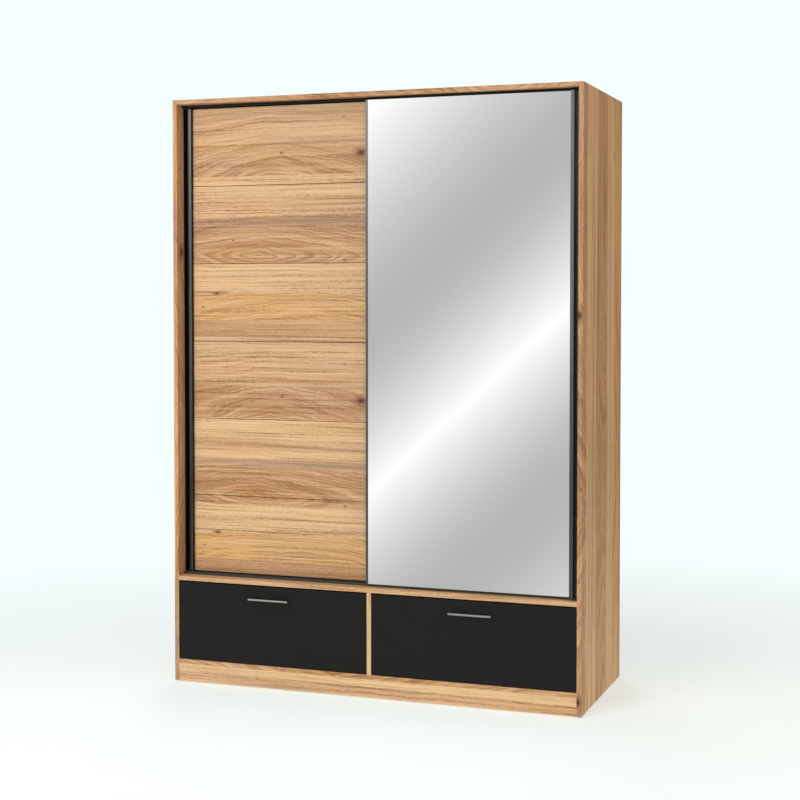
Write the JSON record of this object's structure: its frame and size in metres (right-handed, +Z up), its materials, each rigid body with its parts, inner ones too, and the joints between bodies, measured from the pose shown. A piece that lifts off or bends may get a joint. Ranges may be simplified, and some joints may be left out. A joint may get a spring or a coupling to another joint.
{
  "type": "sliding door wardrobe",
  "caption": "Oak-look wardrobe with a plank-front sliding door, a mirror sliding door and black drawers with bar handles below; shelves and a hanging rail inside.",
  "frame": {"origin": "on the floor, below the middle of the overall width and depth, drawer handles included", "axes": "+X to the viewer's right when facing the doors, -Y to the front (doors and handles), +Z up"},
  "size_m": [1.5, 0.63, 2.09],
  "materials": {
    "oak": "oak-look laminate on chipboard, satin",
    "oak_door": "oak-look laminate with knots, satin",
    "hardboard": "plain hardboard",
    "black_board": "matt black laminate on chipboard",
    "grey_board": "grey laminate on chipboard",
    "anthracite_metal": "satin anthracite coat on rolled or drawn profile",
    "zinc": "zinc plated",
    "handle_steel": "brushed nickel look",
    "white_plastic": "plain",
    "black_plastic": "plain",
    "mirror_glass": "silvered float glass"
  },
  "bodies": {
    "carcass": {"side_panel_left": "oak", "side_panel_right": "oak", "top_panel": "oak", "compartment_floor": "oak", "bottom_panel": "oak", "plinth_front": "oak", "plinth_rear": "oak", "base_support": "oak", "drawer_divider": "oak", "centre_partition": "oak", "back_panel_left": "hardboard", "back_panel_right": "hardboard", "back_panel_lower": "hardboard", "back_nails": "zinc", "hat_shelves": "oak", "shelves": "oak", "shelf_pins": "zinc", "clothes_rail": "zinc", "rail_supports": "zinc", "top_track": "anthracite_metal", "bottom_track": "anthracite_metal", "door_buffers": "black_plastic", "floor_glides": "black_plastic", "cam_fittings": "zinc", "wall_brackets": "zinc", "cabinet_runners": "zinc", "fixing_screws": "zinc"},
    "door_left": {"door_left_boards": "oak_door", "door_left_handle_profile": "anthracite_metal", "door_left_edge_profile": "anthracite_metal", "door_left_carriages": "zinc", "door_left_guides": "black_plastic"},
    "door_right": {"door_right_board": "black_board", "door_right_mirror": "mirror_glass", "door_right_handle_profile": "anthracite_metal", "door_right_edge_profile": "anthracite_metal", "door_right_carriages": "zinc", "door_right_guides": "black_plastic"},
    "drawer_left": {"drawer_left_front": "black_board", "drawer_left_sides": "grey_board", "drawer_left_back": "grey_board", "drawer_left_bottom": "hardboard", "drawer_left_handle": "handle_steel", "drawer_left_handle_screws": "zinc", "drawer_left_runners": "zinc"},
    "drawer_right": {"drawer_right_front": "black_board", "drawer_right_sides": "grey_board", "drawer_right_back": "grey_board", "drawer_right_bottom": "hardboard", "drawer_right_handle": "handle_steel", "drawer_right_handle_screws": "zinc", "drawer_right_runners": "zinc"},
    "cabinet_rollers_left_body": {"cabinet_rollers_left": "white_plastic"},
    "cabinet_rollers_right_body": {"cabinet_rollers_right": "white_plastic"},
    "drawer_rollers_left_body": {"drawer_rollers_left": "white_plastic"},
    "drawer_rollers_right_body": {"drawer_rollers_right": "white_plastic"},
    "door_left_wheel_1_body": {"door_left_wheel_1": "white_plastic"},
    "door_left_wheel_2_body": {"door_left_wheel_2": "white_plastic"},
    "door_right_wheel_1_body": {"door_right_wheel_1": "white_plastic"},
    "door_right_wheel_2_body": {"door_right_wheel_2": "white_plastic"}
  },
  "joints": [
    {"name": "door_left_slide", "type": "slide", "parent": "carcass", "child": "door_left", "axis": [1, 0, 0], "range_m": [0, 0.7]},
    {"name": "door_right_slide", "type": "slide", "parent": "carcass", "child": "door_right", "axis": [1, 0, 0], "range_m": [-0.7, 0]},
    {"name": "drawer_left_slide", "type": "slide", "parent": "carcass", "child": "drawer_left", "axis": [0, -1, 0], "range_m": [0, 0.375]},
    {"name": "drawer_right_slide", "type": "slide", "parent": "carcass", "child": "drawer_right", "axis": [0, -1, 0], "range_m": [0, 0.375]},
    {"name": "door_left_wheel_1_spin", "type": "hinge", "parent": "door_left", "child": "door_left_wheel_1_body", "pos_m": [-0.677, -0.194, 0.3973], "axis": [0, 1, 0], "continuous": true},
    {"name": "door_left_wheel_2_spin", "type": "hinge", "parent": "door_left", "child": "door_left_wheel_2_body", "pos_m": [-0.035, -0.194, 0.3973], "axis": [0, 1, 0], "continuous": true},
    {"name": "door_right_wheel_1_spin", "type": "hinge", "parent": "door_right", "child": "door_right_wheel_1_body", "pos_m": [0.677, -0.238, 0.3973], "axis": [0, 1, 0], "continuous": true},
    {"name": "door_right_wheel_2_spin", "type": "hinge", "parent": "door_right", "child": "door_right_wheel_2_body", "pos_m": [0.035, -0.238, 0.3973], "axis": [0, 1, 0], "continuous": true},
    {"name": "cabinet_rollers_left_spin", "type": "hinge", "parent": "carcass", "child": "cabinet_rollers_left_body", "pos_m": [-0.371, -0.255, 0.1155], "axis": [1, 0, 0], "continuous": true},
    {"name": "drawer_rollers_left_spin", "type": "hinge", "parent": "drawer_left", "child": "drawer_rollers_left_body", "pos_m": [-0.371, 0.219, 0.1105], "axis": [1, 0, 0], "continuous": true},
    {"name": "cabinet_rollers_right_spin", "type": "hinge", "parent": "carcass", "child": "cabinet_rollers_right_body", "pos_m": [0.371, -0.255, 0.1155], "axis": [1, 0, 0], "continuous": true},
    {"name": "drawer_rollers_right_spin", "type": "hinge", "parent": "drawer_right", "child": "drawer_rollers_right_body", "pos_m": [0.371, 0.219, 0.1105], "axis": [1, 0, 0], "continuous": true}
  ],
  "couplings": [
    {"joint": "door_left_wheel_1_spin", "follows": "door_left_slide", "rad_per_m": 90.909},
    {"joint": "door_left_wheel_2_spin", "follows": "door_left_slide", "rad_per_m": 90.909},
    {"joint": "door_right_wheel_1_spin", "follows": "door_right_slide", "rad_per_m": 90.909},
    {"joint": "door_right_wheel_2_spin", "follows": "door_right_slide", "rad_per_m": 90.909},
    {"joint": "cabinet_rollers_left_spin", "follows": "drawer_left_slide", "rad_per_m": 111.11},
    {"joint": "drawer_rollers_left_spin", "follows": "drawer_left_slide", "rad_per_m": 111.11},
    {"joint": "cabinet_rollers_right_spin", "follows": "drawer_right_slide", "rad_per_m": 111.11},
    {"joint": "drawer_rollers_right_spin", "follows": "drawer_right_slide", "rad_per_m": 111.11}
  ]
}
